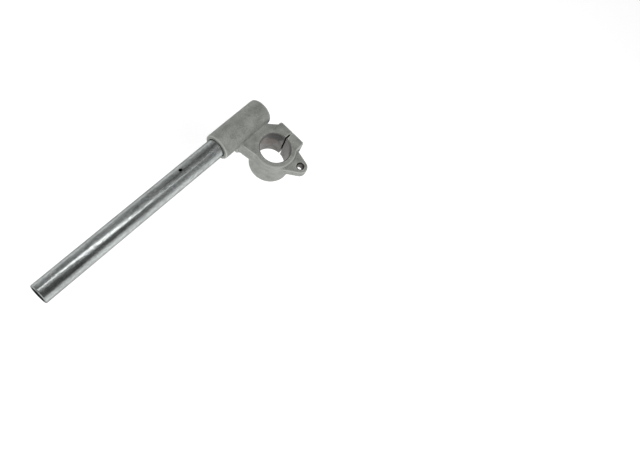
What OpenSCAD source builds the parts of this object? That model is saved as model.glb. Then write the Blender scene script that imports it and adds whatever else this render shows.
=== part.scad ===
/* Clip-on handlebar: a cast clamp that grips a fork tube, with a round bar in its side socket.
   The origin is the middle of the fork bore, +Z runs up along the bore and the bar leaves along -X.
   All sizes are in millimetres and all angles in degrees. */

/* [Fork clamp ring] */
// Diameter of the fork tube that the ring grips
fork_d = 35; // [30:0.5:38]
// Wall of the ring round the fork bore
ring_wall = 6.6; // [5:0.1:8]
// Height of the ring along the fork
ring_h = 42; // [38:1:50]
// Chamfer at both rims of the fork bore
bore_chamfer = 1.2; // [0.4:0.1:2]
// Chamfer on the outer edges of the ring and its boss
edge_chamfer = 1; // [0.3:0.1:1.2]

/* [Pinch boss] */
// Reach of the flat outer face beyond the wall of the fork bore
boss_reach = 11.5; // [11:0.1:14]
// Distance from the middle of the slit to each side face of the boss
boss_half_w = 18; // [17:0.5:20]
// Width of the slit at the fork bore
slit_w = 2; // [1:0.1:3]
// How far the wide part of the slit runs out from the bore
slit_reach = 6.5; // [4:0.5:8]
// Width of the saw cut that carries the slit on through the boss
saw_cut = 0.6; // [0.4:0.1:1]
// Radius of the upright corners of the boss
boss_corner_r = 1.5; // [0.5:0.1:3]

/* [Pinch screws] */
// Thread diameter of the two pinch screws
screw_d = 6; // [5:0.5:6]
// Length of each screw below its head
screw_l = 25; // [20:1:26]
// Diameter of the screw heads
head_d = 10; // [8:0.1:10]
// Height of the screw heads
head_h = 6; // [4:0.1:6]
// Distance between the two screws along the fork
screw_pitch = 20; // [16:1:24]
// Distance from the fork bore to the axis of the screws
screw_inset = 4.7; // [4.5:0.1:5.2]
// Width across the flats of the hexagon key socket
key_af = 5; // [3:0.5:5]
// Depth of the key socket
key_depth = 3; // [2:0.1:4]

/* [Bar] */
// Outer diameter of the bar
bar_d = 22.2; // [20:0.1:23]
// Wall of the bar
bar_wall = 2.3; // [1.5:0.1:3.5]
// Whole length of the bar, its stretch inside the socket counted in
bar_l = 300; // [220:5:340]
// Rounding of the outer edge at the free end of the bar
bar_end_r = 1; // [0.3:0.1:1.4]
// Diameter of the small hole in the top of the bar
pin_hole_d = 4; // [2:0.5:6]
// Distance from the mouth of the socket to the small hole
pin_hole_from_mouth = 51.5; // [20:0.5:90]
// Turn of the small hole round the bar, from straight up and away from the fork
pin_hole_turn = 17; // [-60:1:60]
// How much the radius is turned down on the stretch that stands in the socket
seat_turn = 0.3; // [0.15:0.05:0.5]
// Gap between the shoulder of the turned stretch and the mouth of the socket
shoulder_gap = 0.5; // [0.2:0.1:1]

/* [Bar socket] */
// Wall of the socket round the bar
socket_wall = 4.6; // [3:0.1:6]
// Depth of the bore that holds the bar
socket_depth = 63.5; // [50:0.5:70]
// Thickness of the closed end of the socket
socket_floor = 8.8; // [5:0.1:12]
// Distance of the mouth from the middle of the fork bore, measured along the bar
mouth_reach = 49.5; // [42:0.5:54]
// How far the axis of the bar lies below the top face of the ring, beside the fork bore
socket_sink = 2; // [0:0.5:4]
// Rise of the bar towards its free end
bar_rise = 3; // [0:0.5:6]
// Rounding of the closed end
socket_end_r = 3.5; // [1:0.1:6]
// Chamfer inside and outside the mouth
mouth_chamfer = 0.8; // [0.3:0.1:1.5]

/* [Web] */
// Gap between the ring and the socket that the web fills
web_gap = 3.4; // [2.5:0.1:7]
// Thickness of the web, from the top face of the ring downwards
web_t = 21; // [14:1:24]
// How far the web reaches along the socket towards its mouth, from the middle of the fork bore
web_reach = 25.5; // [24.5:0.5:29]
// How far the outer corner of the boss stands out beyond the sloping side of the web
web_set_back = 5.5; // [4:0.5:8]
// Radius of the blend from the web into the socket on the mouth's side
web_blend_r = 4.5; // [4:0.5:12]

/* [Ear] */
// Radius of the rounded end of the ear
ear_r = 8.4; // [7:0.1:9]
// Diameter of the hole in the ear
ear_hole_d = 6.6; // [5:0.1:8]
// Diameter of the countersink at the top of that hole
ear_sink_d = 9.4; // [8.4:0.1:11]
// Distance from the ring's wall to the axis of the hole
ear_out = 10.1; // [9.5:0.1:13]
// Thickness of the ear
ear_t = 10; // [8:0.5:14]
// How far the ear's top face lies below the top face of the ring
ear_drop = 4; // [2:0.5:8]
// Direction of the ear round the fork bore, from +X
ear_turn = -78.5; // [-85:0.5:-74]
// Blend at the foot of the ring's wall on the ear
ear_blend = 3; // [1:0.1:4]

/* [Fits] */
// Clearance all round the bar in its socket
bar_fit = 0.05; // [0.02:0.01:0.15]
// Clearance all round the threads in their holes
thread_fit = 0.05; // [0.02:0.01:0.1]
// Clearance all round the shanks and heads where they pass freely
screw_play = 0.3; // [0.1:0.05:0.4]
// Free depth beyond the tip of each screw
tip_room = 1.5; // [0.5:0.1:2]

/* [Hidden] */
$fn = 96;
// Overlap of cutting bodies past the faces they cut
cut = 1;
// Depth to which blends and flanks run into the round body that they meet
bite = 1.2;
fork_r = fork_d / 2;
ring_r = fork_r + ring_wall;
top_z = ring_h / 2;
boss_x = fork_r + boss_reach;
// Finer than the chamfer of the ring, so that the two never end at the same height
boss_chamfer = 0.8 * edge_chamfer;
bar_r = bar_d / 2;
seat_r = bar_r - seat_turn;
socket_r = seat_r + bar_fit + socket_wall;
socket_l = socket_depth + socket_floor;
socket_y = ring_r + web_gap + socket_r;
socket_z = top_z - socket_sink;
// Far end of the socket, measured along the bar past the middle of the fork bore
socket_back = socket_l - mouth_reach;
screw_x = fork_r + screw_inset;
screw_r = screw_d / 2;
head_r = head_d / 2;
// The heads sit flush with the side face of the boss that looks away from the socket
seat_y = -boss_half_w + head_h;
screw_levels = [screw_pitch / 2, -screw_pitch / 2];
ear_dist = ring_r + ear_out;
ear_x = ear_dist * cos(ear_turn);
ear_y = ear_dist * sin(ear_turn);
ear_top = top_z - ear_drop;
ear_bottom = ear_top - ear_t;
// Centre of the blend between the web's side and the socket
blend_x = -web_reach - web_blend_r;
blend_y = socket_y - socket_r - web_blend_r + bite / 2;
// Where the web's side starts, inside the ring
web_root_x = -ring_r + 2 * bite;
// Where the web's sloping side leaves the corner of the boss
slope_x = boss_x - web_set_back;
// Half angle between the two sides of the ear, which are tangents to its rounded end and the ring
ear_spread = asin((ring_r - bite - ear_r) / ear_dist);

// Puts its children in the frame of the bar: +Z runs from the mouth's side to the closed end
// of the socket, and zero lies beside the middle of the fork bore.
module along_bar() {
    translate([0, socket_y, socket_z])
        rotate([0, 90 + bar_rise, 0])
            children();
}

// Upright cylinder with the same chamfer at both of its ends
module chamfered_disc(r, h, c) {
    rotate_extrude()
        polygon([[0, -h / 2], [r - c, -h / 2], [r, -h / 2 + c], [r, h / 2 - c], [r - c, h / 2], [0, h / 2]]);
}

// Square bar along X, turned on edge, that cuts a chamfer of this size off a straight edge
module edge_cutter(l, c) {
    rotate([45, 0, 0])
        cube([l, c * sqrt(2), c * sqrt(2)], center = true);
}

// Plan of the pinch boss: a block with rounded outer corners, which grows out of the ring
module boss_plan() {
    r = boss_corner_r;
    translate([0, -boss_half_w])
        square([boss_x - r, 2 * boss_half_w]);
    translate([boss_x - 2 * r, r - boss_half_w])
        square([2 * r, 2 * (boss_half_w - r)]);
    for (side = [-1, 1])
        translate([boss_x - r, side * (boss_half_w - r)])
            circle(r);
}

module boss() {
    difference() {
        linear_extrude(ring_h, center = true)
            boss_plan();
        for (end = [-1, 1])
            translate([0, 0, end * top_z]) {
                translate([boss_x, 0, 0])
                    rotate(90)
                        edge_cutter(2 * boss_half_w + 2 * cut, boss_chamfer);
                for (side = [-1, 1])
                    translate([boss_x / 2, side * boss_half_w, 0])
                        edge_cutter(boss_x + 2 * cut, boss_chamfer);
            }
    }
}

// Plan of the web between the ring, the boss and the socket, before its blend is cut
module web_plan() {
    polygon([
        [web_root_x, 0],
        [-web_reach, blend_y],
        [blend_x, blend_y],
        [blend_x, socket_y],
        [slope_x - socket_y + boss_half_w, socket_y],
        [slope_x, boss_half_w],
        [slope_x, 0]
    ]);
}

// The web is flat on top. Its underside runs from the ring's wall to the bottom of the socket,
// so it follows the rise of the bar.
module web() {
    difference() {
        intersection() {
            linear_extrude(ring_h, center = true)
                web_plan();
            along_bar()
                translate([0, 0, -mouth_reach])
                    linear_extrude(socket_l)
                        polygon([
                            [-ring_h, -socket_y],
                            [-ring_h, 0],
                            [seat_r + socket_wall / 2, 0],
                            [web_t - socket_sink, ring_r - socket_y],
                            [web_t - socket_sink, -socket_y]
                        ]);
        }
        translate([blend_x, blend_y, 0])
            cylinder(r = web_blend_r, h = ring_h + 2 * cut, center = true);
        translate([slope_x, boss_half_w, top_z])
            rotate(135)
                edge_cutter(2 * (socket_y - boss_half_w), boss_chamfer);
    }
}

// Round socket for the bar, closed and rounded at its far end
module socket() {
    along_bar()
        rotate_extrude()
            difference() {
                union() {
                    translate([0, -mouth_reach + mouth_chamfer])
                        square([socket_r, socket_l - mouth_chamfer - socket_end_r]);
                    translate([0, -mouth_reach])
                        square([socket_r - mouth_chamfer, socket_l]);
                    polygon([
                        [socket_r - mouth_chamfer - cut / 10, -mouth_reach],
                        [socket_r - mouth_chamfer, -mouth_reach],
                        [socket_r, -mouth_reach + mouth_chamfer],
                        [socket_r - mouth_chamfer - cut / 10, -mouth_reach + mouth_chamfer]
                    ]);
                    translate([socket_r - socket_end_r, socket_back - socket_end_r])
                        circle(socket_end_r);
                }
                translate([socket_r - socket_end_r, socket_back - socket_end_r])
                    difference() {
                        square(socket_end_r + cut);
                        circle(socket_end_r);
                    }
                translate([-socket_r, -mouth_reach])
                    square([socket_r, socket_l]);
            }
}

// Plan of the ear: a round end, and a neck whose sides are its tangents and run into the ring
module ear_plan() {
    along = sin(ear_spread);
    across = cos(ear_spread);
    rotate(ear_turn) {
        polygon([
            [0, 0],
            [(ring_r - bite) * along, (ring_r - bite) * across],
            [ear_dist + ear_r * along, ear_r * across],
            [ear_dist + ear_r * along, -ear_r * across],
            [(ring_r - bite) * along, -(ring_r - bite) * across]
        ]);
        translate([ear_dist, 0])
            circle(ear_r);
    }
}

// The ear, with a sloping foot where the ring's wall stands on it
module ear() {
    translate([0, 0, ear_top])
        mirror([0, 0, 1])
            linear_extrude(ear_t)
                ear_plan();
    intersection() {
        translate([0, 0, ear_top - cut])
            linear_extrude(ear_blend + 2 * cut)
                ear_plan();
        translate([0, 0, ear_top - cut])
            cylinder(r1 = ring_r + ear_blend + cut, r2 = ring_r - cut, h = ear_blend + 2 * cut);
    }
}

// Everything that is cut from the casting round the fork
module fork_bore() {
    cylinder(r = fork_r, h = ring_h + 2 * cut, center = true);
    for (turn = [0, 180])
        rotate([turn, 0, 0])
            translate([0, 0, top_z - bore_chamfer])
                cylinder(r1 = fork_r, r2 = fork_r + bore_chamfer + cut, h = bore_chamfer + cut);
    translate([0, -slit_w / 2, -top_z - cut])
        cube([fork_r + slit_reach, slit_w, ring_h + 2 * cut]);
    translate([0, -saw_cut / 2, -top_z - cut])
        cube([boss_x + cut, saw_cut, ring_h + 2 * cut]);
}

// Stepped hole for one pinch screw: room for the head, a free hole up to the slit, then the thread
module screw_hole() {
    rotate([-90, 0, 0]) {
        translate([0, 0, -boss_half_w - cut])
            cylinder(r = head_r + screw_play, h = head_h + cut);
        translate([0, 0, seat_y - cut])
            cylinder(r = screw_r + screw_play, h = -seat_y + cut);
        translate([0, 0, -cut])
            cylinder(r = screw_r + thread_fit, h = seat_y + screw_l + tip_room + cut);
    }
}

// Bore for the bar, with its flat floor and a chamfer at the mouth
module bar_bore() {
    along_bar() {
        translate([0, 0, -mouth_reach - cut])
            cylinder(r = seat_r + bar_fit, h = socket_depth + cut);
        translate([0, 0, -mouth_reach - cut])
            cylinder(
                r1 = seat_r + bar_fit + mouth_chamfer + cut,
                r2 = seat_r + bar_fit,
                h = mouth_chamfer + cut
            );
    }
}

// Countersunk hole through the ear
module ear_hole() {
    hole_r = ear_hole_d / 2;
    sink_r = ear_sink_d / 2;
    rotate_extrude()
        polygon([
            [0, ear_bottom - cut],
            [hole_r, ear_bottom - cut],
            [hole_r, ear_top - sink_r + hole_r],
            [sink_r, ear_top],
            [sink_r, ear_top + ear_blend + cut],
            [0, ear_top + ear_blend + cut]
        ]);
}

module clamp_casting() {
    color("#8f918a")
        difference() {
            union() {
                chamfered_disc(ring_r, ring_h, edge_chamfer);
                boss();
                web();
                socket();
                ear();
            }
            fork_bore();
            for (level = screw_levels)
                translate([screw_x, 0, level])
                    screw_hole();
            bar_bore();
            translate([ear_x, ear_y, 0])
                ear_hole();
        }
}

// Round tube, open at its free end. Its inner end is turned down to a true seat with a shoulder
// just outside the mouth, and stands on the floor of the socket.
module bar_tube() {
    inner_r = bar_r - bar_wall;
    color("#b9bcba")
        along_bar()
            difference() {
                translate([0, 0, socket_depth - mouth_reach - bar_l])
                    rotate_extrude()
                        difference() {
                            translate([inner_r, 0])
                                square([bar_wall, bar_l]);
                            translate([seat_r, bar_l - socket_depth - shoulder_gap])
                                square([seat_turn + cut, socket_depth + shoulder_gap + cut]);
                            translate([bar_r - bar_end_r, bar_end_r])
                                rotate(-90)
                                    difference() {
                                        square(bar_end_r + cut);
                                        circle(bar_end_r);
                                    }
                        }
                translate([0, 0, -mouth_reach - pin_hole_from_mouth])
                    rotate([0, -90, 0])
                        rotate([-pin_hole_turn, 0, 0])
                            cylinder(d = pin_hole_d, h = bar_r + cut);
            }
}

// Socket-head cap screw along +Y, with its head at the low end
module pinch_screw(level) {
    color("#55575a")
        translate([screw_x, seat_y, level])
            rotate([-90, 0, 0])
                difference() {
                    union() {
                        cylinder(r = screw_r, h = screw_l);
                        translate([0, 0, -head_h])
                            cylinder(r = head_r, h = head_h);
                    }
                    translate([0, 0, -head_h - cut])
                        cylinder(d = key_af / cos(30), h = key_depth + cut, $fn = 6);
                }
}

module upper_pinch_screw() {
    pinch_screw(screw_levels[0]);
}

module lower_pinch_screw() {
    pinch_screw(screw_levels[1]);
}

clamp_casting();
bar_tube();
upper_pinch_screw();
lower_pinch_screw();
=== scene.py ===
"""Clip-on handlebar: a cast fork clamp, the plated bar in its socket, and the two pinch screws."""

import math

import bmesh
import bpy
import numpy as np
from mathutils import Matrix, Vector
from mathutils.bvhtree import BVHTree


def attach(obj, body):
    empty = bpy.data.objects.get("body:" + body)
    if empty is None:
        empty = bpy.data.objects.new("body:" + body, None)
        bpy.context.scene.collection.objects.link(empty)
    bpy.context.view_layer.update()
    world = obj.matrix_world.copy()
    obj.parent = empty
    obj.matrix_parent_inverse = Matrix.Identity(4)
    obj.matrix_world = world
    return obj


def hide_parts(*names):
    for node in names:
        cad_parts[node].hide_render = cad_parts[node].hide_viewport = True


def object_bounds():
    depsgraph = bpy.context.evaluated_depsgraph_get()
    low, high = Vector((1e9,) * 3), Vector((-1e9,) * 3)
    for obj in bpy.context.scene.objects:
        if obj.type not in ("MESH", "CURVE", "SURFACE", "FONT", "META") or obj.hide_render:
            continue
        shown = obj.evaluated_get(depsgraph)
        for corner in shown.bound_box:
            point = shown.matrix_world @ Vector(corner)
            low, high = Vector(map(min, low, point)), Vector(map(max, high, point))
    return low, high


bl_info = {
    "name": "Clip-on Handlebar",
    "version": (1, 0, 0),
    "blender": (4, 5, 0),
    "location": "View3D > Sidebar > Handlebar",
    "description": "Builds the cast clamp, the plated bar and the pinch screws round the CAD frame",
    "category": "Mesh",
}

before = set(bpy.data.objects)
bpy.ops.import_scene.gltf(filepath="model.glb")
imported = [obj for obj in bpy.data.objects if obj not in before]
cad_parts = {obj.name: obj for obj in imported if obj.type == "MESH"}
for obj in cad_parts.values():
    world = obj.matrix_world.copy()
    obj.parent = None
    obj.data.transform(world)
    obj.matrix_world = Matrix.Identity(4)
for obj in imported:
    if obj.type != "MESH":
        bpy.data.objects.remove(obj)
CAD_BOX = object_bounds()
BODY = "root"

# Places and sizes that the CAD model has as well

RING_CHAMFER = 0.001
BORE_CHAMFER = 0.0012
SOCKET_PLACE = Vector((0, 0.04295, 0.019))
BAR_RISE = math.radians(3)
ALONG_BAR = Matrix.Translation(SOCKET_PLACE) @ Matrix.Rotation(math.radians(90) + BAR_RISE, 4, "Y")
SOCKET_RADIUS = 0.01545
SOCKET_BORE = 0.01085
SOCKET_FLOOR = 0.014
SOCKET_BACK = 0.0228
SOCKET_END_RADIUS = 0.0035
MOUTH_REACH = 0.0495
MOUTH_CHAMFER = 0.0008
SHOULDER_GAP = 0.0005
FREE_END_RADIUS = 0.001
HOLE_FROM_MOUTH = 0.0515
HOLE_TURN = math.radians(-17)
WEB_REACH = 0.0255
WEB_BLEND = 0.0045
WEB_START = 0.0236
WEB_EDGE = 0.03695
EAR_PLACE = Vector((0.006818, -0.033513, 0))
EAR_RADIUS = 0.0084
EAR_LEVELS = (0.007, 0.017)
EAR_HOLE_RADIUS = 0.0033
EAR_SINK_RADIUS = 0.0047
SCREW_AXIS_X = 0.0222
SCREW_SEAT_Y = -0.012
SCREW_LEVELS = (0.010, -0.010)

# How the materials and the studio are laid out

# Each spot in the fork bore: its middle, its radius, how much it covers, and its colour. The first is a
# brownish stain; the second, dark and high on the far wall, is painted shade.
BORE_STAIN_AND_SHADE_SPOTS = (
    ((0.0095, 0.0145, 0.003), 0.011, 0.8, (0.175, 0.128, 0.105)),
    # Painted shade: a dark patch high on the far wall of the bore.
    ((0.0140, 0.0105, 0.016), 0.0135, 0.97, (0.03, 0.03, 0.027)),
)
# Distances from the axis over which the cut faces darken as painted shade in the holes, and heights over
# which the bore's rim lightens as a painted highlight
HOLE_SHADE_REACH = (0.0188, 0.0205)
RIM_HIGHLIGHT_HEIGHTS = (0.0196, 0.0200)
# Each strip lamp: its name, the points that it hangs between, and its share of the strip strength
STRIP_LAMPS = (
    ("strip lamp near the clamp", (0.33, -0.31), (0.03, -0.24), 0.3),
    ("middle strip lamp", (0.03, -0.24), (-0.15, 0.28), 1.0),
    ("strip lamp near the free end", (-0.15, 0.28), (-0.26, 0.40), 0.8),
)
STRIP_HEIGHT = 0.8
STRIP_WIDTH = 0.055
# Each dark card: its name, its place, the point that it faces, and its size
DARK_CARDS = (
    ("camera side card", (-0.20, -0.55, 0.55), (-0.28, 0.04, 0.03), (0.5, 0.6)),
    ("free end card", (-0.29, -0.13, 0.60), (-0.28, 0.04, 0.03), (0.26, 0.24)),
    ("far side card", (0.32, 0.27, 0.60), (-0.06, 0.04, 0.02), (0.42, 0.42)),
)
FLOOR_REACH = 6


class ClampCastingSettings(bpy.types.PropertyGroup):
    """Sizes and colours of the cast clamp."""

    bore_radius: bpy.props.FloatProperty(
        name="Bore Radius", description="Radius of the bore for the fork tube", default=0.0175, unit="LENGTH")
    ring_radius: bpy.props.FloatProperty(
        name="Ring Radius", description="Outer radius of the clamp ring", default=0.0241, unit="LENGTH")
    half_height: bpy.props.FloatProperty(
        name="Half Height", description="Half the height of the ring along the fork", default=0.021,
        unit="LENGTH")
    boss_reach: bpy.props.FloatProperty(
        name="Boss Reach", description="Distance from the bore's axis to the outer face of the boss",
        default=0.029, unit="LENGTH")
    boss_half_width: bpy.props.FloatProperty(
        name="Boss Half Width", description="Distance from the slit to each side face of the boss",
        default=0.018, unit="LENGTH")
    slit_width: bpy.props.FloatProperty(
        name="Slit Width", description="Width of the slit at the fork bore", default=0.002, unit="LENGTH")
    slit_reach: bpy.props.FloatProperty(
        name="Slit Reach", description="Distance from the bore's axis to the end of the slit's wide part",
        default=0.024, unit="LENGTH")
    saw_cut: bpy.props.FloatProperty(
        name="Saw Cut", description="Width of the cut that carries the slit on through the boss",
        default=0.0006, unit="LENGTH")
    skin_step: bpy.props.FloatProperty(
        name="Skin Step", description="Size of the grid that the cast skin is drawn on", default=0.0007,
        unit="LENGTH")
    skin_rounding: bpy.props.IntProperty(
        name="Skin Rounding", description="Smoothing passes that round the cast edges and corners", default=6)
    cast_colour: bpy.props.FloatVectorProperty(
        name="Cast Colour", description="Colour of the cast skin", default=(0.404, 0.420, 0.389), size=3,
        subtype="COLOR")
    machined_colour: bpy.props.FloatVectorProperty(
        name="Machined Colour", description="Colour of the bores and slit faces", default=(0.35, 0.34, 0.32),
        size=3, subtype="COLOR")


class BarTubeSettings(bpy.types.PropertyGroup):
    """Sizes and colours of the bar."""

    outer_radius: bpy.props.FloatProperty(
        name="Outer Radius", description="Outer radius of the bar", default=0.0111, unit="LENGTH")
    inner_radius: bpy.props.FloatProperty(
        name="Inner Radius", description="Radius of the bore through the bar", default=0.0088, unit="LENGTH")
    seat_radius: bpy.props.FloatProperty(
        name="Seat Radius", description="Radius of the turned end in the socket", default=0.0108,
        unit="LENGTH")
    free_end: bpy.props.FloatProperty(
        name="Free End", description="Distance of the free end beyond the fork bore", default=0.286,
        unit="LENGTH")
    socket_end: bpy.props.FloatProperty(
        name="Socket End", description="Distance of the inner end past the fork bore",
        default=SOCKET_FLOOR, unit="LENGTH")
    mouth: bpy.props.FloatProperty(
        name="Mouth", description="Distance of the socket's mouth from the fork bore", default=MOUTH_REACH,
        unit="LENGTH")
    hole_radius: bpy.props.FloatProperty(
        name="Hole Radius", description="Radius of the small locating hole", default=0.002, unit="LENGTH")
    plating_colour: bpy.props.FloatVectorProperty(
        name="Plating Colour", description="Colour of the dull plating", default=(0.668, 0.704, 0.696),
        size=3, subtype="COLOR")


class PinchScrewSettings(bpy.types.PropertyGroup):
    """Sizes and colours of the two pinch screws."""

    thread_radius: bpy.props.FloatProperty(
        name="Thread Radius", description="Outer radius of the thread", default=0.003, unit="LENGTH")
    thread_pitch: bpy.props.FloatProperty(
        name="Thread Pitch", description="Distance from turn to turn of the thread", default=0.001,
        unit="LENGTH")
    length: bpy.props.FloatProperty(
        name="Length", description="Length below the head", default=0.025, unit="LENGTH")
    head_radius: bpy.props.FloatProperty(
        name="Head Radius", description="Radius of the screw head", default=0.005, unit="LENGTH")
    head_height: bpy.props.FloatProperty(
        name="Head Height", description="Height of the screw head", default=0.006, unit="LENGTH")
    rib_count: bpy.props.IntProperty(
        name="Rib Count", description="Ribs of the knurl round the head", default=40)
    steel_colour: bpy.props.FloatVectorProperty(
        name="Steel Colour", description="Colour of the screws", default=(0.22, 0.225, 0.23), size=3,
        subtype="COLOR")


class StageSettings(bpy.types.PropertyGroup):
    """Floor, lights and camera."""

    floor_drop: bpy.props.FloatProperty(
        name="Floor Drop", description="Distance of the floor below the part", default=0.22, unit="LENGTH")
    floor_colour: bpy.props.FloatVectorProperty(
        name="Floor Colour", description="Colour of the floor", default=(0.85, 0.85, 0.85), size=3,
        subtype="COLOR")
    floor_white: bpy.props.FloatProperty(
        name="Floor White", description="How much the floor adds to look white", default=0.52)
    sky_level: bpy.props.FloatProperty(
        name="Sky Level", description="Brightness of the upper part of the studio", default=0.29)
    strip_strength: bpy.props.FloatProperty(
        name="Strip Strength", description="Brightness of the narrow lamps above the bar", default=6.0)
    key_power: bpy.props.FloatProperty(
        name="Key Power", description="Power of the soft lamp beside the camera", default=8.5, unit="POWER")
    lens: bpy.props.FloatProperty(
        name="Lens", description="Focal length for a 36 mm wide sensor, in mm", default=38.966)
    camera_place: bpy.props.FloatVectorProperty(
        name="Camera Place", description="Place of the camera", default=(-0.32612, -0.13424, 0.71152), size=3,
        subtype="TRANSLATION")
    camera_turn: bpy.props.FloatVectorProperty(
        name="Camera Turn", description="Turn of the camera",
        default=(math.radians(18.0362), math.radians(-13.9055), math.radians(-47.7229)), size=3,
        subtype="EULER")


# Node helpers

def add_node(tree, kind, inputs=None, **facts):
    """Adds a node, sets its facts, and sets or links the inputs given by name or number."""
    node = tree.nodes.new(kind)
    for name, value in facts.items():
        setattr(node, name, value)
    for name, value in (inputs or {}).items():
        if isinstance(value, bpy.types.NodeSocket):
            tree.links.new(value, node.inputs[name])
        else:
            node.inputs[name].default_value = value
    return node


def colour_ramp(tree, factor, stops):
    """Adds a colour ramp with stops of (position, grey or colour)."""
    node = add_node(tree, "ShaderNodeValToRGB", {"Fac": factor})
    ramp = node.color_ramp
    while len(ramp.elements) < len(stops):
        ramp.elements.new(0.5)
    for element, (place, value) in zip(ramp.elements, stops):
        element.position = place
        element.color = (value, value, value, 1) if isinstance(value, float) else (*value, 1)
    return node.outputs["Color"]


def mix_colour(tree, factor, first, second, blend="MIX"):
    """Mixes two colours."""
    node = add_node(tree, "ShaderNodeMix", data_type="RGBA", blend_type=blend)
    for socket, value in ((node.inputs[0], factor), (node.inputs[6], first), (node.inputs[7], second)):
        if isinstance(value, bpy.types.NodeSocket):
            tree.links.new(value, socket)
        elif isinstance(value, (int, float)):
            socket.default_value = value
        else:
            socket.default_value = (*value, 1)
    return node.outputs[2]


def arithmetic(tree, operation, first, second=0.0, clamp=False):
    """One step of arithmetic on two numbers."""
    node = add_node(tree, "ShaderNodeMath", {0: first, 1: second}, operation=operation, use_clamp=clamp)
    return node.outputs[0]


def new_group(name, inputs, outputs):
    """Starts a shader node group with named inputs and outputs."""
    group = bpy.data.node_groups.new(name, "ShaderNodeTree")
    for label, kind, value in inputs:
        socket = group.interface.new_socket(name=label, in_out="INPUT", socket_type=kind)
        if value is not None:
            socket.default_value = value
    for label, kind in outputs:
        group.interface.new_socket(name=label, in_out="OUTPUT", socket_type=kind)
    return group, group.nodes.new("NodeGroupInput"), group.nodes.new("NodeGroupOutput")


def metal_grain_group():
    """Fine grain with small pits, and a broad mottling of the tone."""
    group, source, result = new_group(
        "metal grain",
        [("Vector", "NodeSocketVector", None), ("Grain Scale", "NodeSocketFloat", 1400.0),
         ("Mottle Scale", "NodeSocketFloat", 70.0), ("Pit Depth", "NodeSocketFloat", 0.5)],
        [("Height", "NodeSocketFloat"), ("Mottle", "NodeSocketFloat"), ("Pits", "NodeSocketFloat")],
    )
    vector = source.outputs["Vector"]
    scale = source.outputs["Grain Scale"]
    fine = noise(group, vector, scale, 3.0, 0.6)
    coarse = noise(group, vector, arithmetic(group, "MULTIPLY", scale, 0.28), 2.0)
    pit_scale = arithmetic(group, "MULTIPLY", scale, 0.22)
    cells = add_node(group, "ShaderNodeTexVoronoi", {"Vector": vector, "Scale": pit_scale})
    pits = colour_ramp(group, cells.outputs["Distance"], [(0.08, 1.0), (0.22, 0.0)])
    dent = arithmetic(group, "MULTIPLY", pits, source.outputs["Pit Depth"])
    height = arithmetic(group, "SUBTRACT", arithmetic(group, "ADD", fine, coarse), dent)
    mottle = noise(group, vector, source.outputs["Mottle Scale"], 5.0, 0.62)
    group.links.new(height, result.inputs["Height"])
    group.links.new(mottle, result.inputs["Mottle"])
    group.links.new(pits, result.inputs["Pits"])
    return group


def scratch_group():
    """Long fine scratches that run where the vector is squeezed."""
    group, source, result = new_group(
        "scratches",
        [("Vector", "NodeSocketVector", None), ("Scale", "NodeSocketFloat", 900.0),
         ("Share", "NodeSocketFloat", 0.1)],
        [("Mask", "NodeSocketFloat"), ("Streaks", "NodeSocketFloat")],
    )
    streaks = noise(group, source.outputs["Vector"], source.outputs["Scale"], 4.0, 0.7)
    edge = arithmetic(group, "ABSOLUTE", arithmetic(group, "SUBTRACT", streaks, 0.5))
    share = arithmetic(group, "MULTIPLY", source.outputs["Share"], 0.12)
    group.links.new(arithmetic(group, "LESS_THAN", edge, share), result.inputs["Mask"])
    group.links.new(streaks, result.inputs["Streaks"])
    return group


SHARED_GROUPS = {"metal grain": metal_grain_group, "scratches": scratch_group}


def use_group(tree, name, inputs):
    """Places a shared group, which is built the first time, with this material's own values."""
    group = bpy.data.node_groups.get(name) or SHARED_GROUPS[name]()
    return add_node(tree, "ShaderNodeGroup", inputs, node_tree=group).outputs


def squeezed(tree, squeeze=(1, 1, 1), turn=(0, 0, 0), place=(0, 0, 0)):
    """Object coordinates, turned and squeezed for a pattern."""
    coordinates = add_node(tree, "ShaderNodeTexCoord")
    mapping = add_node(tree, "ShaderNodeMapping",
                       {"Vector": coordinates.outputs["Object"], "Location": place, "Rotation": turn,
                        "Scale": squeeze})
    return mapping.outputs["Vector"]


def noise(tree, vector, scale, detail, roughness=0.5):
    """Noise between nought and one."""
    node = add_node(tree, "ShaderNodeTexNoise",
                    {"Vector": vector, "Scale": scale, "Detail": detail, "Roughness": roughness})
    return node.outputs["Fac"]


def ranged(tree, value, source, target, curve="LINEAR"):
    """Moves a value from one range to another and holds it there."""
    node = add_node(tree, "ShaderNodeMapRange",
                    {"Value": value, "From Min": source[0], "From Max": source[1], "To Min": target[0],
                     "To Max": target[1]}, interpolation_type=curve)
    return node.outputs[0]


def toned(colour, share):
    """The colour made darker or lighter."""
    return tuple(min(1.0, share * value) for value in colour)


def toned_by(tree, tone, share):
    """Darkens a tone by a share that changes over the surface."""
    return mix_colour(tree, 1.0, tone, share, "MULTIPLY")


def new_material(name, metallic, specular=0.5):
    """A node material with its shader."""
    material = bpy.data.materials.new(name)
    material.use_nodes = True
    shader = material.node_tree.nodes["Principled BSDF"]
    shader.inputs["Metallic"].default_value = metallic
    shader.inputs["Specular IOR Level"].default_value = specular
    return material, material.node_tree, shader


def finish_shader(tree, shader, tone, roughness, height, depth):
    """Links what changes over the surface: its tone, its roughness and a bump of a given depth."""
    tree.links.new(tone, shader.inputs["Base Color"])
    tree.links.new(roughness, shader.inputs["Roughness"])
    node = add_node(tree, "ShaderNodeBump", {"Height": height, "Distance": depth, "Strength": 1.0})
    tree.links.new(node.outputs["Normal"], shader.inputs["Normal"])


def spot(tree, place, radius, share):
    """How much of a spot with an uneven edge covers each point near a place."""
    here = add_node(tree, "ShaderNodeTexCoord").outputs["Object"]
    away = add_node(tree, "ShaderNodeVectorMath", {0: here, 1: place}, operation="DISTANCE")
    ragged = arithmetic(tree, "MULTIPLY", noise(tree, here, 260.0, 4.0), radius)
    reach = arithmetic(tree, "ADD", ragged, away.outputs["Value"])
    return ranged(tree, reach, (radius, 1.6 * radius), (share, 0.0), "SMOOTHSTEP")


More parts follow.
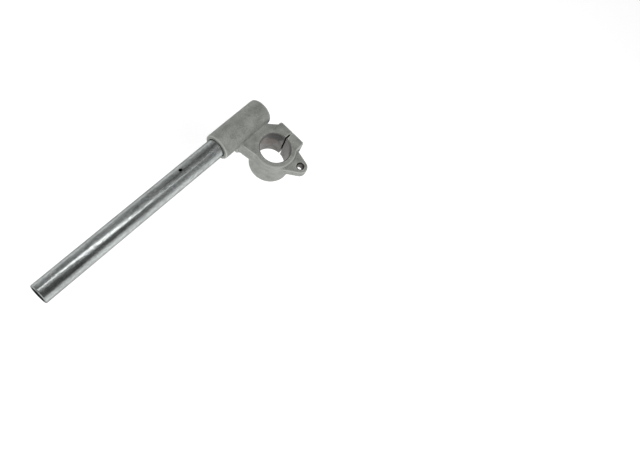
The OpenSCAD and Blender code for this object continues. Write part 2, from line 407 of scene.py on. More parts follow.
def cast_skin_material(colour):
    """Blasted cast aluminium: matte, with fine grain and pits, edges lightened as rubbed wear and painted
    highlight, and painted shade in corners and hollows.
    """
    material, tree, shader = new_material("cast alloy skin", 0.55)
    vector = squeezed(tree)
    skin = use_group(tree, "metal grain",
                     {"Vector": vector, "Grain Scale": 1500, "Mottle Scale": 85, "Pit Depth": 0.7})
    tone = colour_ramp(tree, skin["Mottle"],
                       [(0.32, toned(colour, 0.76)), (0.5, tuple(colour)), (0.7, toned(colour, 1.22))])
    speckle = noise(tree, vector, 820.0, 2.0)
    tone = toned_by(tree, tone, colour_ramp(tree, speckle, [(0.36, 0.75), (0.64, 1.0)]))
    tone = mix_colour(tree, arithmetic(tree, "MULTIPLY", skin["Pits"], 0.35), tone, toned(colour, 0.35))
    # Lighter edges: partly rubbed wear, partly a painted highlight on the chamfers and rims.
    edge = add_node(tree, "ShaderNodeAttribute", attribute_name="edge").outputs["Fac"]
    wear_and_highlight = colour_ramp(tree, edge, [(0.54, 0.0), (0.64, 0.75)])
    tone = mix_colour(tree, wear_and_highlight, tone, toned(colour, 1.45))
    # Painted shade in creases and concave corners, such as the groove where the socket meets the web.
    corner = colour_ramp(tree, edge, [(0.2, 0.75), (0.44, 0.0)])
    tone = mix_colour(tree, corner, tone, toned(colour, 0.35))
    # Painted shade: darker where the ray-cast openness is low, in grooves and holes.
    occlusion_shade = add_node(tree, "ShaderNodeAttribute", attribute_name="occlusion_shade").outputs["Fac"]
    tone = toned_by(tree, tone, colour_ramp(tree, occlusion_shade, [(0.4, 0.25), (0.88, 1.0)]))
    rough = ranged(tree, skin["Mottle"], (0.3, 0.7), (0.5, 0.64))
    finish_shader(tree, shader, tone, rough, skin["Height"], 0.00014)
    return material


def machined_face_material(colour):
    """Bored and sawn faces: turned rings, a stain and a patch of painted shade high in the fork bore, painted
    shade in the holes beyond it, and a painted highlight on the bore's rim.
    """
    material, tree, shader = new_material("machined alloy", 0.8)
    rings = use_group(tree, "scratches",
                      {"Vector": squeezed(tree, (0.06, 0.06, 1)), "Scale": 2600, "Share": 0.5})
    skin = use_group(tree, "metal grain",
                     {"Vector": squeezed(tree), "Grain Scale": 700, "Mottle Scale": 120})
    tone = colour_ramp(tree, skin["Mottle"], [(0.35, toned(colour, 0.55)), (0.6, tuple(colour))])
    film = noise(tree, squeezed(tree, place=(0.013, 0.004, 0)), 45.0, 4.0)
    tone = mix_colour(tree, colour_ramp(tree, film, [(0.46, 0.0), (0.62, 0.35)]), tone, (0.25, 0.19, 0.16))
    tone = toned_by(tree, tone, colour_ramp(tree, rings["Streaks"], [(0.3, 0.55), (0.7, 1.0)]))
    # A brownish stain, then a dark patch of painted shade.
    for place, radius, share, spot_colour in BORE_STAIN_AND_SHADE_SPOTS:
        tone = mix_colour(tree, spot(tree, place, radius, share), tone, spot_colour)
    # Painted shade in the holes, the slit and the socket bore, darker with distance from the fork bore's
    # axis.
    here = add_node(tree, "ShaderNodeTexCoord").outputs["Object"]
    flat = add_node(tree, "ShaderNodeVectorMath", {0: here, 1: (1, 1, 0)}, operation="MULTIPLY")
    away = add_node(tree, "ShaderNodeVectorMath", {0: flat.outputs[0]}, operation="LENGTH")
    tone = toned_by(tree, tone, ranged(tree, away.outputs["Value"], HOLE_SHADE_REACH, (0.58, 0.32)))
    # Painted highlight along the chamfers at both rims of the fork bore.
    height = arithmetic(tree, "ABSOLUTE", add_node(tree, "ShaderNodeSeparateXYZ", {0: here}).outputs["Z"])
    tone = mix_colour(tree, ranged(tree, height, RIM_HIGHLIGHT_HEIGHTS, (0.0, 0.55)), tone, toned(colour, 1.4))
    rough = ranged(tree, rings["Streaks"], (0.3, 0.7), (0.28, 0.46))
    finish_shader(tree, shader, tone, rough, rings["Streaks"], 0.00008)
    return material


def plated_tube_material(colour):
    """Dull bright plating on a drawn tube: streaks along it, fine marks across it, flecks and wear."""
    material, tree, shader = new_material("plated tube", 1.0)
    shader.inputs["Specular Tint"].default_value = (0.2, 0.2, 0.2, 1)
    turn = (0, -BAR_RISE, 0)
    along = use_group(tree, "scratches",
                      {"Vector": squeezed(tree, (0.012, 1, 1), turn), "Scale": 1500, "Share": 0.22})
    across = use_group(tree, "scratches",
                       {"Vector": squeezed(tree, (1, 0.1, 0.1), turn, (0.1, 0.02, 0)), "Scale": 1100,
                        "Share": 0.3})
    cloud = noise(tree, squeezed(tree, (0.35, 1, 1), turn), 130.0, 6.0, 0.65)
    tone = colour_ramp(tree, cloud, [(0.3, toned(colour, 0.68)), (0.54, tuple(colour))])
    tone = mix_colour(tree, arithmetic(tree, "MULTIPLY", along["Mask"], 0.3), tone, toned(colour, 0.4))
    tone = mix_colour(tree, arithmetic(tree, "MULTIPLY", across["Mask"], 0.22), tone, toned(colour, 0.5))
    fleck = noise(tree, squeezed(tree, (0.6, 1, 1), turn), 620.0, 1.0)
    tone = toned_by(tree, tone, colour_ramp(tree, fleck, [(0.36, 0.74), (0.64, 1.0)]))
    height = arithmetic(tree, "ADD", arithmetic(tree, "MULTIPLY", across["Streaks"], 0.5), along["Streaks"])
    finish_shader(tree, shader, tone, ranged(tree, cloud, (0.3, 0.7), (0.17, 0.29)), height, 0.00002)
    return material


def screw_steel_material(colour):
    """Plain steel screws with a thin dark oxide and tool marks."""
    material, tree, shader = new_material("screw steel", 1.0)
    skin = use_group(tree, "metal grain",
                     {"Vector": squeezed(tree), "Grain Scale": 2600, "Mottle Scale": 400})
    marks = use_group(tree, "scratches",
                      {"Vector": squeezed(tree, (1, 0.2, 1)), "Scale": 1800, "Share": 0.2})
    tone = colour_ramp(tree, skin["Mottle"], [(0.35, toned(colour, 0.55)), (0.62, tuple(colour))])
    tone = mix_colour(tree, arithmetic(tree, "MULTIPLY", marks["Mask"], 0.4), tone, toned(colour, 1.8))
    rough = ranged(tree, skin["Mottle"], (0.3, 0.7), (0.24, 0.42))
    finish_shader(tree, shader, tone, rough, skin["Height"], 0.00004)
    return material


# Mesh helpers

def upright_prism(bm, outline, low, high):
    """Closed prism on an outline; low is one height or a rule that gives it for a place."""
    floor = []
    top = []
    for x, y in outline:
        z = low(x, y) if callable(low) else low
        floor.append(bm.verts.new((x, y, z)))
        top.append(bm.verts.new((x, y, high)))
    count = len(outline)
    for i in range(count):
        j = (i + 1) % count
        bm.faces.new((floor[i], floor[j], top[j], top[i]))
    faces = [bm.faces.new(floor[::-1]), bm.faces.new(top)]
    bmesh.ops.triangulate(bm, faces=faces)


def turned_body(bm, profile, place, steps=128, closed=False):
    """Body of revolution from points of (radius, position along the axis)."""
    rings = []
    for radius, along in profile:
        if radius < 1e-7:
            rings.append([bm.verts.new(place @ Vector((0, 0, along)))])
            continue
        ring = []
        for i in range(steps):
            angle = 2 * math.pi * i / steps
            point = Vector((radius * math.cos(angle), radius * math.sin(angle), along))
            ring.append(bm.verts.new(place @ point))
        rings.append(ring)
    pairs = list(zip(rings, rings[1:]))
    if closed:
        pairs.append((rings[-1], rings[0]))
    for first, second in pairs:
        for i in range(steps):
            j = (i + 1) % steps
            if len(first) == 1:
                bm.faces.new((first[0], second[j], second[i]))
            elif len(second) == 1:
                bm.faces.new((first[i], first[j], second[0]))
            else:
                bm.faces.new((first[i], first[j], second[j], second[i]))


def arc(centre, radius, start, end, steps):
    """Points of an arc, with its angles in degrees."""
    points = []
    for i in range(steps + 1):
        angle = math.radians(start + (end - start) * i / steps)
        points.append((centre[0] + radius * math.cos(angle), centre[1] + radius * math.sin(angle)))
    return points


def object_from(bm, name, materials, index=0):
    """Turns a bmesh into an object with its faces outwards, smooth, and on one material."""
    bmesh.ops.recalc_face_normals(bm, faces=bm.faces)
    for face in bm.faces:
        face.material_index = index
        face.smooth = True
    mesh = bpy.data.meshes.new(name)
    bm.to_mesh(mesh)
    bm.free()
    for material in materials:
        mesh.materials.append(material)
    obj = bpy.data.objects.new(name, mesh)
    bpy.context.scene.collection.objects.link(obj)
    return obj


def cut_away(obj, cutter):
    """Takes the cutter's shape out of the object with a live modifier."""
    step = obj.modifiers.new("cut " + cutter.name, "BOOLEAN")
    step.operation = "DIFFERENCE"
    step.solver = "MANIFOLD"
    step.object = cutter


def make_final(obj, helpers=()):
    """Turns the object with its modifiers into a plain mesh and removes what helped to make it."""
    graph = bpy.context.evaluated_depsgraph_get()
    mesh = bpy.data.meshes.new_from_object(obj.evaluated_get(graph))
    mesh.name = obj.name
    obj.modifiers.clear()
    old = obj.data
    obj.data = mesh
    bpy.data.meshes.remove(old)
    for helper in helpers:
        data = helper.data
        bpy.data.objects.remove(helper)
        bpy.data.meshes.remove(data)
    return obj


def dress(obj, node):
    """Hands a finished piece to the frame."""
    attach(obj, BODY)
    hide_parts(node)


# Clamp casting

def boss_outline(settings):
    """Plan of the pinch boss, with its outer corners rounder than the solid's, as on a worn casting."""
    r = 0.0026
    x = settings.boss_reach
    w = settings.boss_half_width
    return [(0, -w), *arc((x - r, r - w), r, -90, 0, 4), *arc((x - r, w - r), r, 0, 90, 4), (0, w)]


def web_underside(x, y, ring_radius):
    """Height of the web's underside, which follows the bar and rises towards the socket."""
    at_ring = 0.019
    at_socket = 0.0131
    share = min(1.0, max(0.0, (y - ring_radius) / (SOCKET_PLACE.y - ring_radius)))
    depth = at_ring + (at_socket - at_ring) * share
    return SOCKET_PLACE.z - x * math.tan(BAR_RISE) - depth / math.cos(BAR_RISE)


def ear_outline(settings):
    """Plan of the ear: a round end and a neck that runs into the ring."""
    turn = math.atan2(EAR_PLACE.y, EAR_PLACE.x)
    reach = EAR_PLACE.length
    sunk = 0.0012
    root = settings.ring_radius - sunk
    spread = math.asin((root - EAR_RADIUS) / reach)
    side, front = root * math.cos(spread), root * math.sin(spread)
    plan = [(0, 0), (front, -side)]
    plan += arc((reach, 0), EAR_RADIUS, math.degrees(spread) - 90, 90 - math.degrees(spread), 24)
    plan.append((front, side))
    rows = ((math.cos(turn), -math.sin(turn)), (math.sin(turn), math.cos(turn)))
    return [tuple(row[0] * x + row[1] * y for row in rows) for x, y in plan]


def cast_blank(settings, materials):
    """The casting before it is machined: overlapping bodies, made one and rounded like a casting."""
    top = settings.half_height
    radius = settings.ring_radius
    bm = bmesh.new()
    ring = [(0, -top), (radius - RING_CHAMFER, -top), (radius, RING_CHAMFER - top),
            (radius, top - RING_CHAMFER), (radius - RING_CHAMFER, top), (0, top)]
    turned_body(bm, ring, Matrix.Identity(4))
    upright_prism(bm, boss_outline(settings), -top, top)
    inner = [(-0.0217, 0), (-WEB_REACH, WEB_START), (-WEB_REACH, 0.0245), (0.017, 0.0245),
             (0.0235, settings.boss_half_width), (0.0235, 0)]
    upright_prism(bm, inner, lambda x, y: web_underside(x, 0, radius), top)
    outer = arc((-WEB_REACH - WEB_BLEND, WEB_START), WEB_BLEND, 0, 90, 12)
    outer += [(-WEB_REACH - WEB_BLEND, WEB_EDGE), (0.00455, WEB_EDGE), (0.0175, 0.024), (0.0175, WEB_START)]
    upright_prism(bm, outer, lambda x, y: web_underside(x, y, radius), top)
    socket = [(0, -MOUTH_REACH), (SOCKET_RADIUS - MOUTH_CHAMFER, -MOUTH_REACH),
              (SOCKET_RADIUS, MOUTH_CHAMFER - MOUTH_REACH)]
    bend = (SOCKET_RADIUS - SOCKET_END_RADIUS, SOCKET_BACK - SOCKET_END_RADIUS)
    socket += arc(bend, SOCKET_END_RADIUS, 0, 90, 8)
    turned_body(bm, socket + [(0, SOCKET_BACK)], ALONG_BAR)
    upright_prism(bm, ear_outline(settings), *EAR_LEVELS)
    bmesh.ops.recalc_face_normals(bm, faces=bm.faces)
    blank = object_from(bm, "clamp_casting_skin", materials)
    skin = blank.modifiers.new("skin", "REMESH")
    skin.mode = "VOXEL"
    skin.voxel_size = settings.skin_step
    skin.use_smooth_shade = True
    rounding = blank.modifiers.new("rounding", "SMOOTH")
    rounding.factor = 0.5
    rounding.iterations = settings.skin_rounding
    return blank


def machining(settings, materials):
    """The bodies that the bores, the slit and the holes are cut with."""
    top = settings.half_height
    bore = settings.bore_radius
    past = 0.001
    cutters = []

    def turned(name, profile, place):
        bm = bmesh.new()
        turned_body(bm, profile, place)
        cutters.append(object_from(bm, name, materials, 1))

    wide = bore + BORE_CHAMFER + past
    turned("fork bore",
           [(0, -top - past), (wide, -top - past), (bore, BORE_CHAMFER - top), (bore, top - BORE_CHAMFER),
            (wide, top + past), (0, top + past)], Matrix.Identity(4))
    cuts = ((settings.slit_width, settings.slit_reach), (settings.saw_cut, settings.boss_reach + past))
    for width, reach in cuts:
        bm = bmesh.new()
        half = width / 2
        plan = [(0.005, -half), (reach, -half), (reach, half), (0.005, half)]
        upright_prism(bm, plan, -top - past, top + past)
        cutters.append(object_from(bm, "slit", materials, 1))
    for level in SCREW_LEVELS:
        place = Matrix.Translation((SCREW_AXIS_X, 0, level)) @ Matrix.Rotation(math.radians(-90), 4, "X")
        turned("screw hole",
               [(0, -0.0195), (0.0060, -0.0195), (0.0056, -0.018), (0.0053, -0.0177),
                (0.0053, SCREW_SEAT_Y), (0.0033, SCREW_SEAT_Y), (0.0033, 0), (0.00305, 0),
                (0.00305, 0.0145), (0, 0.0152)], place)
    mouth = MOUTH_REACH + 0.0015
    chamfer_end = MOUTH_REACH - MOUTH_CHAMFER
    turned("bar bore",
           [(0, -mouth), (SOCKET_BORE + mouth - chamfer_end, -mouth), (SOCKET_BORE, -chamfer_end),
            (SOCKET_BORE, SOCKET_FLOOR), (0, SOCKET_FLOOR)], ALONG_BAR)
    low, high = EAR_LEVELS
    sink = EAR_SINK_RADIUS - EAR_HOLE_RADIUS
    turned("ear hole",
           [(0, low - past), (EAR_HOLE_RADIUS, low - past), (EAR_HOLE_RADIUS, high - sink),
            (EAR_SINK_RADIUS, high), (EAR_SINK_RADIUS, high + 0.004), (0, high + 0.004)],
           Matrix.Translation(EAR_PLACE))
    return cutters


def mark_edges(mesh):
    """Writes how far each point stands out: over one half on edges, under it in corners."""
    longest = 0.0015
    sharpest = 1200
    count = len(mesh.vertices)
    places = np.empty(count * 3)
    mesh.vertices.foreach_get("co", places)
    places = places.reshape(-1, 3)
    normals = np.empty(count * 3)
    mesh.vertices.foreach_get("normal", normals)
    normals = normals.reshape(-1, 3)
    pairs = np.empty(len(mesh.edges) * 2, dtype=np.int64)
    mesh.edges.foreach_get("vertices", pairs)
    pairs = pairs.reshape(-1, 2)
    length = np.linalg.norm(places[pairs[:, 0]] - places[pairs[:, 1]], axis=1)
    pairs = pairs[(length > 1e-6) & (length < longest)]
    links = np.zeros(count)
    lean = np.zeros(count)
    for a, b in ((0, 1), (1, 0)):
        way = places[pairs[:, b]] - places[pairs[:, a]]
        way /= np.linalg.norm(way, axis=1)[:, None] ** 2
        np.add.at(lean, pairs[:, a], -(way * normals[pairs[:, a]]).sum(axis=1))
        np.add.at(links, pairs[:, a], 1)
    links = np.maximum(links, 1)
    lean /= links
    for _ in range(4):
        around = np.zeros(count)
        np.add.at(around, pairs[:, 0], lean[pairs[:, 1]])
        np.add.at(around, pairs[:, 1], lean[pairs[:, 0]])
        lean = 0.5 * lean + 0.5 * around / links
    value = np.clip(0.5 + lean / sharpest, 0, 1)
    store = mesh.attributes.new("edge", "FLOAT", "POINT")
    store.data.foreach_set("value", value.astype(np.float32))


def mark_occlusion_shade(mesh, reach):
    """Writes how open each point lies: one in the open and near nought deep in a groove or a hole. The cast
    skin paints shade from it.
    """
    rays = 14
    turn = 2.4
    lift = 0.0003
    tree = BVHTree.FromPolygons([v.co for v in mesh.vertices], [tuple(p.vertices) for p in mesh.polygons])
    fan = []
    for k in range(rays):
        rise = math.sqrt((k + 0.5) / rays)
        flat = math.sqrt(1 - rise * rise)
        fan.append((flat * math.cos(turn * k), flat * math.sin(turn * k), rise))
    openness = np.empty(len(mesh.vertices), dtype=np.float32)
    for index, vertex in enumerate(mesh.vertices):
        normal = vertex.normal
        side = normal.orthogonal().normalized()
        across = normal.cross(side)
        start = vertex.co + normal * lift
        free = 0.0
        for x, y, z in fan:
            hit = tree.ray_cast(start, side * x + across * y + normal * z, reach)[3]
            free += 1.0 if hit is None else hit / reach
        openness[index] = free / rays
    store = mesh.attributes.new("occlusion_shade", "FLOAT", "POINT")
    store.data.foreach_set("value", openness)


class HANDLEBAR_OT_clamp_casting(bpy.types.Operator):
    """Builds the cast clamp with its machined bores."""

    bl_idname = "handlebar.clamp_casting"
    bl_label = "Clamp Casting"

    def execute(self, context):
        settings = context.scene.clamp_casting
        materials = [
            cast_skin_material(settings.cast_colour),
            machined_face_material(settings.machined_colour),
        ]
        blank = cast_blank(settings, materials)
        cutters = machining(settings, materials)
        for cutter in cutters:
            cut_away(blank, cutter)
        casting = make_final(blank, cutters)
        if len(casting.data.polygons) < 10000:
            raise RuntimeError("the casting came out empty")
        casting.data.set_sharp_from_angle(angle=math.radians(38))
        mark_edges(casting.data)
        mark_occlusion_shade(casting.data, 0.04)
        dress(casting, "clamp_casting")
        return {"FINISHED"}


# Bar

class HANDLEBAR_OT_bar_tube(bpy.types.Operator):
    """Builds the round bar with its turned seat, rounded free end and locating hole."""

    bl_idname = "handlebar.bar_tube"
    bl_label = "Bar Tube"

    def execute(self, context):
        settings = context.scene.bar_tube
        material = plated_tube_material(settings.plating_colour)
        outer = settings.outer_radius
        inner = settings.inner_radius
        seat = settings.seat_radius
        shoulder = -settings.mouth - SHOULDER_GAP
        profile = [(inner, settings.socket_end), (inner, -settings.free_end)]
        corner = (outer - FREE_END_RADIUS, FREE_END_RADIUS - settings.free_end)
        profile += arc(corner, FREE_END_RADIUS, -90, 0, 6)
        profile += [(outer, shoulder), (seat, shoulder), (seat, settings.socket_end)]
        bm = bmesh.new()
        turned_body(bm, profile, ALONG_BAR, steps=160, closed=True)
        bar = object_from(bm, "bar_tube_plated", [material])
        place = (ALONG_BAR @ Matrix.Translation((0, 0, -settings.mouth - HOLE_FROM_MOUTH))
                 @ Matrix.Rotation(math.radians(-90), 4, "Y") @ Matrix.Rotation(HOLE_TURN, 4, "X"))
        radius = settings.hole_radius
        bm = bmesh.new()
        turned_body(bm, [(0, 0.004), (radius, 0.004), (radius, 0.0109), (radius + 0.0006, 0.0118),
                         (0, 0.0118)], place, steps=48)
        hole = object_from(bm, "locating hole", [material])
        cut_away(bar, hole)
        make_final(bar, [hole])
        bar.data.set_sharp_from_angle(angle=math.radians(38))
        dress(bar, "bar_tube")
        return {"FINISHED"}


# Pinch screws

def screw_detail_tree():
    """Geometry nodes that put a knurl round the head and a thread round the shank of a screw."""
    tree = bpy.data.node_groups.new("screw details", "GeometryNodeTree")
    for label, kind, value in (
        ("Geometry", "NodeSocketGeometry", None), ("Head Radius", "NodeSocketFloat", 0.005),
        ("Head Height", "NodeSocketFloat", 0.006), ("Rib Count", "NodeSocketInt", 40),
        ("Rib Radius", "NodeSocketFloat", 0.0003), ("Thread Radius", "NodeSocketFloat", 0.003),
        ("Thread Pitch", "NodeSocketFloat", 0.001), ("Thread Length", "NodeSocketFloat", 0.018),
        ("Thread Start", "NodeSocketFloat", 0.005), ("Material", "NodeSocketMaterial", None),
    ):
        socket = tree.interface.new_socket(name=label, in_out="INPUT", socket_type=kind)
        if value is not None:
            socket.default_value = value
    tree.interface.new_socket(name="Geometry", in_out="OUTPUT", socket_type="NodeSocketGeometry")
    source = tree.nodes.new("NodeGroupInput").outputs
    result = tree.nodes.new("NodeGroupOutput")
    ring_radius = arithmetic(tree, "SUBTRACT", source["Head Radius"], source["Rib Radius"])
    ring = add_node(tree, "GeometryNodeMeshCircle", {"Vertices": source["Rib Count"], "Radius": ring_radius})
    rib_length = arithmetic(tree, "MULTIPLY", source["Head Height"], 0.72)
    rib = add_node(tree, "GeometryNodeMeshCylinder",
                   {"Vertices": 8, "Radius": source["Rib Radius"], "Depth": rib_length})
    ribs = add_node(tree, "GeometryNodeInstanceOnPoints",
                    {"Points": ring.outputs["Mesh"], "Instance": rib.outputs["Mesh"]})
    rib_height = arithmetic(tree, "MULTIPLY", source["Head Height"], -0.47)
    lift = add_node(tree, "ShaderNodeCombineXYZ", {"Z": rib_height})
    ribs = add_node(tree, "GeometryNodeTransform",
                    {"Geometry": ribs.outputs["Instances"], "Translation": lift.outputs[0]})
    turns = arithmetic(tree, "DIVIDE", source["Thread Length"], source["Thread Pitch"])
    crest = arithmetic(tree, "MULTIPLY", source["Thread Pitch"], 0.30)
    helix_radius = arithmetic(tree, "SUBTRACT", source["Thread Radius"], crest)
    helix = add_node(tree, "GeometryNodeCurveSpiral",
                     {"Resolution": 32, "Rotations": turns, "Start Radius": helix_radius,
                      "End Radius": helix_radius, "Height": source["Thread Length"]})
    profile = add_node(tree, "GeometryNodeCurvePrimitiveCircle", {"Resolution": 6, "Radius": crest})
    thread = add_node(tree, "GeometryNodeCurveToMesh",
                      {"Curve": helix.outputs["Curve"], "Profile Curve": profile.outputs["Curve"],
                       "Fill Caps": True})
    start = add_node(tree, "ShaderNodeCombineXYZ", {"Z": source["Thread Start"]})
    thread = add_node(tree, "GeometryNodeTransform",
                      {"Geometry": thread.outputs["Mesh"], "Translation": start.outputs[0]})
    joined = add_node(tree, "GeometryNodeJoinGeometry")
    for part in (thread.outputs["Geometry"], ribs.outputs["Geometry"], source["Geometry"]):
        tree.links.new(part, joined.inputs[0])
    real = add_node(tree, "GeometryNodeRealizeInstances", {"Geometry": joined.outputs[0]})
    final = add_node(tree, "GeometryNodeSetMaterial",
                     {"Geometry": real.outputs[0], "Material": source["Material"]})
    tree.links.new(final.outputs[0], result.inputs[0])
    return tree


def screw_blank(settings, material, name):
    """Head with a hexagon key socket, and a plain shank to the core of the thread."""
    bm = bmesh.new()
    height = settings.head_height
    body = settings.head_radius - 0.00025
    core = settings.thread_radius - 0.0005
    rim = [(0.0029, -height), (body - 0.0006, -height), (body, 0.0006 - height), (body, -0.0002),
           (body - 0.0002, 0), (settings.thread_radius, 0), (settings.thread_radius, 0.004), (core, 0.0045),
           (core, settings.length - 0.0008), (core - 0.0007, settings.length), (0, settings.length)]
    turned_body(bm, rim, Matrix.Identity(4), steps=96)
    mouth = [v for v in bm.verts if abs(v.co.z + height) < 1e-7 and v.co.xy.length < 0.003]
    mouth.sort(key=lambda v: math.atan2(v.co.y, v.co.x))
    hexagon = []
    for vert in mouth:
        angle = math.atan2(vert.co.y, vert.co.x)
        off = (angle + math.radians(30)) % math.radians(60) - math.radians(30)
        reach = 0.0025 / math.cos(off)
        hexagon.append(bm.verts.new((reach * math.cos(angle), reach * math.sin(angle), 0.0004 - height)))
    deep = [bm.verts.new((v.co.x, v.co.y, 0.003 - height)) for v in hexagon]
    tip = bm.verts.new((0, 0, 0.0038 - height))
    count = len(mouth)
    for i in range(count):
        j = (i + 1) % count
        bm.faces.new((mouth[i], mouth[j], hexagon[j], hexagon[i]))
        bm.faces.new((hexagon[i], hexagon[j], deep[j], deep[i]))
        bm.faces.new((deep[i], deep[j], tip))
    return object_from(bm, name, [material])


class HANDLEBAR_OT_pinch_screws(bpy.types.Operator):
    """Builds the two cap screws that close the slit."""

    bl_idname = "handlebar.pinch_screws"
    bl_label = "Pinch Screws"

    def execute(self, context):
        settings = context.scene.pinch_screws
        material = screw_steel_material(settings.steel_colour)
        tree = screw_detail_tree()
        values = {
            "Head Radius": settings.head_radius, "Head Height": settings.head_height,
            "Rib Count": settings.rib_count, "Thread Radius": settings.thread_radius,
            "Thread Pitch": settings.thread_pitch, "Thread Length": settings.length - 0.0055,
            "Material": material,
        }
        for node, level in zip(("upper_pinch_screw", "lower_pinch_screw"), SCREW_LEVELS):
            screw = screw_blank(settings, material, node + "_steel")
            details = screw.modifiers.new("details", "NODES")
            details.node_group = tree
            for item in tree.interface.items_tree:
                if item.in_out == "INPUT" and item.name in values:
                    details[item.identifier] = values[item.name]
            make_final(screw)
            place = Matrix.Translation((SCREW_AXIS_X, SCREW_SEAT_Y, level))
            screw.data.transform(place @ Matrix.Rotation(math.radians(-90), 4, "X"))
            for face in screw.data.polygons:
                face.use_smooth = True
            screw.data.set_sharp_from_angle(angle=math.radians(35))
            dress(screw, node)
        return {"FINISHED"}


# Stage

def floor_material(settings):
    """Pale floor that keeps the shadow and looks white to the camera and in the metal."""
    material, tree, shader = new_material("pale floor", 0.0)
    shader.inputs["Base Color"].default_value = (*settings.floor_colour, 1)
    shader.inputs["Roughness"].default_value = 0.9
    shader.inputs["Emission Color"].default_value = (1, 1, 1, 1)
    path = add_node(tree, "ShaderNodeLightPath")
    seen = arithmetic(tree, "ADD", path.outputs["Is Camera Ray"], path.outputs["Is Glossy Ray"])
    seen = arithmetic(tree, "ADD", seen, path.outputs["Is Transmission Ray"], clamp=True)
    seen = arithmetic(tree, "MULTIPLY", seen, settings.floor_white)
    tree.links.new(seen, shader.inputs["Emission Strength"])
    return material


def studio_world(settings):
    """Soft studio: white near the floor, grey above, and white where the camera sees it."""
    world = bpy.data.worlds.new("studio")
    world.use_nodes = True
    tree = world.node_tree
    backdrop = tree.nodes["Background"]
    direction = add_node(tree, "ShaderNodeTexCoord")
    split = add_node(tree, "ShaderNodeSeparateXYZ", {"Vector": direction.outputs["Generated"]})
    sky = settings.sky_level
    tone = colour_ramp(tree, split.outputs["Z"],
                       [(0.0, 1.0), (0.1, 0.7), (0.28, 0.42), (0.6, sky), (1.0, sky)])
    path = add_node(tree, "ShaderNodeLightPath")
    tone = mix_colour(tree, path.outputs["Is Camera Ray"], tone, (1.0, 1.0, 1.0))
    tree.links.new(tone, backdrop.inputs["Color"])
    bpy.context.scene.world = world


def turned_to(place, target):
    """Pose at a place, with -Z towards a target."""
    aim = (Vector(target) - Vector(place)).to_track_quat("-Z", "Y")
    return Matrix.Translation(place) @ aim.to_matrix().to_4x4()


def area_lamp(name, pose, size, power):
    """A soft rectangular lamp that the camera doesn't see."""
    data = bpy.data.lights.new(name, "AREA")
    data.shape = "RECTANGLE"
    data.size, data.size_y = size
    data.energy = power
    lamp = bpy.data.objects.new(name, data)
    lamp.matrix_world = pose
    lamp.visible_camera = False
    bpy.context.scene.collection.objects.link(lamp)
    return lamp


def strip_lamp(name, start, end, strength):
    """A narrow lamp that hangs between two points above the bar and draws a bright line along it."""
    start = Vector((*start, STRIP_HEIGHT))
    way = Vector((*end, STRIP_HEIGHT)) - start
    pose = Matrix.Translation(start + way / 2) @ Matrix.Rotation(math.atan2(way.y, way.x), 4, "Z")
    power = strength * math.pi * way.length * STRIP_WIDTH
    area_lamp(name, pose, (way.length, STRIP_WIDTH), power)


def dark_card(name, place, target, size):
    """A dark card that the bright bar reflects, as in a product studio. The camera doesn't see it."""
    material, tree, shader = new_material("dark card", 0.0, 0.0)
    shader.inputs["Base Color"].default_value = (0.16, 0.16, 0.16, 1)
    pose = turned_to(place, target)
    bm = bmesh.new()
    corners = []
    for x, y in ((-1, -1), (1, -1), (1, 1), (-1, 1)):
        corners.append(bm.verts.new(pose @ Vector((x * size[0] / 2, y * size[1] / 2, 0))))
    bm.faces.new(corners)
    card = object_from(bm, name, [material])
    card.visible_camera = False
    card.visible_diffuse = False
    card.visible_shadow = False


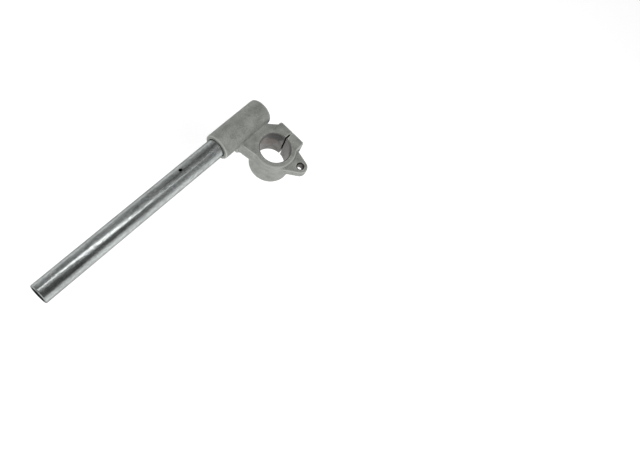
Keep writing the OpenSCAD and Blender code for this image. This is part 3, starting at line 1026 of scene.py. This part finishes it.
class HANDLEBAR_OT_stage(bpy.types.Operator):
    """Sets up the floor, the studio light and the camera."""

    bl_idname = "handlebar.stage"
    bl_label = "Stage"

    def execute(self, context):
        settings = context.scene.stage_settings
        level = CAD_BOX[0].z - settings.floor_drop
        bm = bmesh.new()
        corners = [(-1, -1), (1, -1), (1, 1), (-1, 1)]
        bm.faces.new([bm.verts.new((x * FLOOR_REACH, y * FLOOR_REACH, level)) for x, y in corners])
        floor = object_from(bm, "floor", [floor_material(settings)])
        studio_world(settings)
        for name, start, end, share in STRIP_LAMPS:
            strip_lamp(name, start, end, share * settings.strip_strength)
        key_pose = turned_to((-0.25, -0.5, 1.0), (-0.02, 0.02, 0))
        key = area_lamp("key lamp", key_pose, (0.5, 0.5), settings.key_power)
        key.visible_glossy = False
        for card in DARK_CARDS:
            dark_card(*card)
        data = bpy.data.cameras.new("camera")
        data.sensor_width = 36
        data.sensor_fit = "HORIZONTAL"
        data.lens = settings.lens
        data.clip_start = 0.01
        data.clip_end = 50
        camera = bpy.data.objects.new("camera", data)
        camera.location = settings.camera_place
        camera.rotation_euler = settings.camera_turn
        context.scene.collection.objects.link(camera)
        context.scene.camera = camera
        context.scene.view_settings.view_transform = "Standard"
        return {"FINISHED"}


class HANDLEBAR_PT_panel(bpy.types.Panel):
    """Lists the pieces of the handlebar."""

    bl_idname = "HANDLEBAR_PT_panel"
    bl_label = "Clip-on Handlebar"
    bl_space_type = "VIEW_3D"
    bl_region_type = "UI"
    bl_category = "Handlebar"

    def draw(self, context):
        for name, operators in GROUPS:
            box = self.layout.box()
            for operator in operators:
                box.operator(operator.bl_idname)
            settings = getattr(context.scene, name)
            for key in settings.bl_rna.properties.keys():
                if key not in ("rna_type", "name"):
                    box.prop(settings, key)


GROUPS = (
    ("clamp_casting", (HANDLEBAR_OT_clamp_casting,)),
    ("bar_tube", (HANDLEBAR_OT_bar_tube,)),
    ("pinch_screws", (HANDLEBAR_OT_pinch_screws,)),
    ("stage_settings", (HANDLEBAR_OT_stage,)),
)
SETTINGS = {
    "clamp_casting": ClampCastingSettings,
    "bar_tube": BarTubeSettings,
    "pinch_screws": PinchScrewSettings,
    "stage_settings": StageSettings,
}
CLASSES = (
    *SETTINGS.values(),
    HANDLEBAR_OT_clamp_casting,
    HANDLEBAR_OT_bar_tube,
    HANDLEBAR_OT_pinch_screws,
    HANDLEBAR_OT_stage,
    HANDLEBAR_PT_panel,
)


def register():
    """Registers the classes and their settings on the scene."""
    for item in CLASSES:
        bpy.utils.register_class(item)
    for name, group in SETTINGS.items():
        setattr(bpy.types.Scene, name, bpy.props.PointerProperty(type=group))


def unregister():
    """Takes the settings and classes off again."""
    for name in SETTINGS:
        delattr(bpy.types.Scene, name)
    for item in reversed(CLASSES):
        bpy.utils.unregister_class(item)


def main():
    """Builds every piece and the stage."""
    register()
    bpy.ops.handlebar.stage()
    bpy.ops.handlebar.clamp_casting()
    bpy.ops.handlebar.bar_tube()
    bpy.ops.handlebar.pinch_screws()
    bpy.context.view_layer.update()


if __name__ == "__main__":
    main()
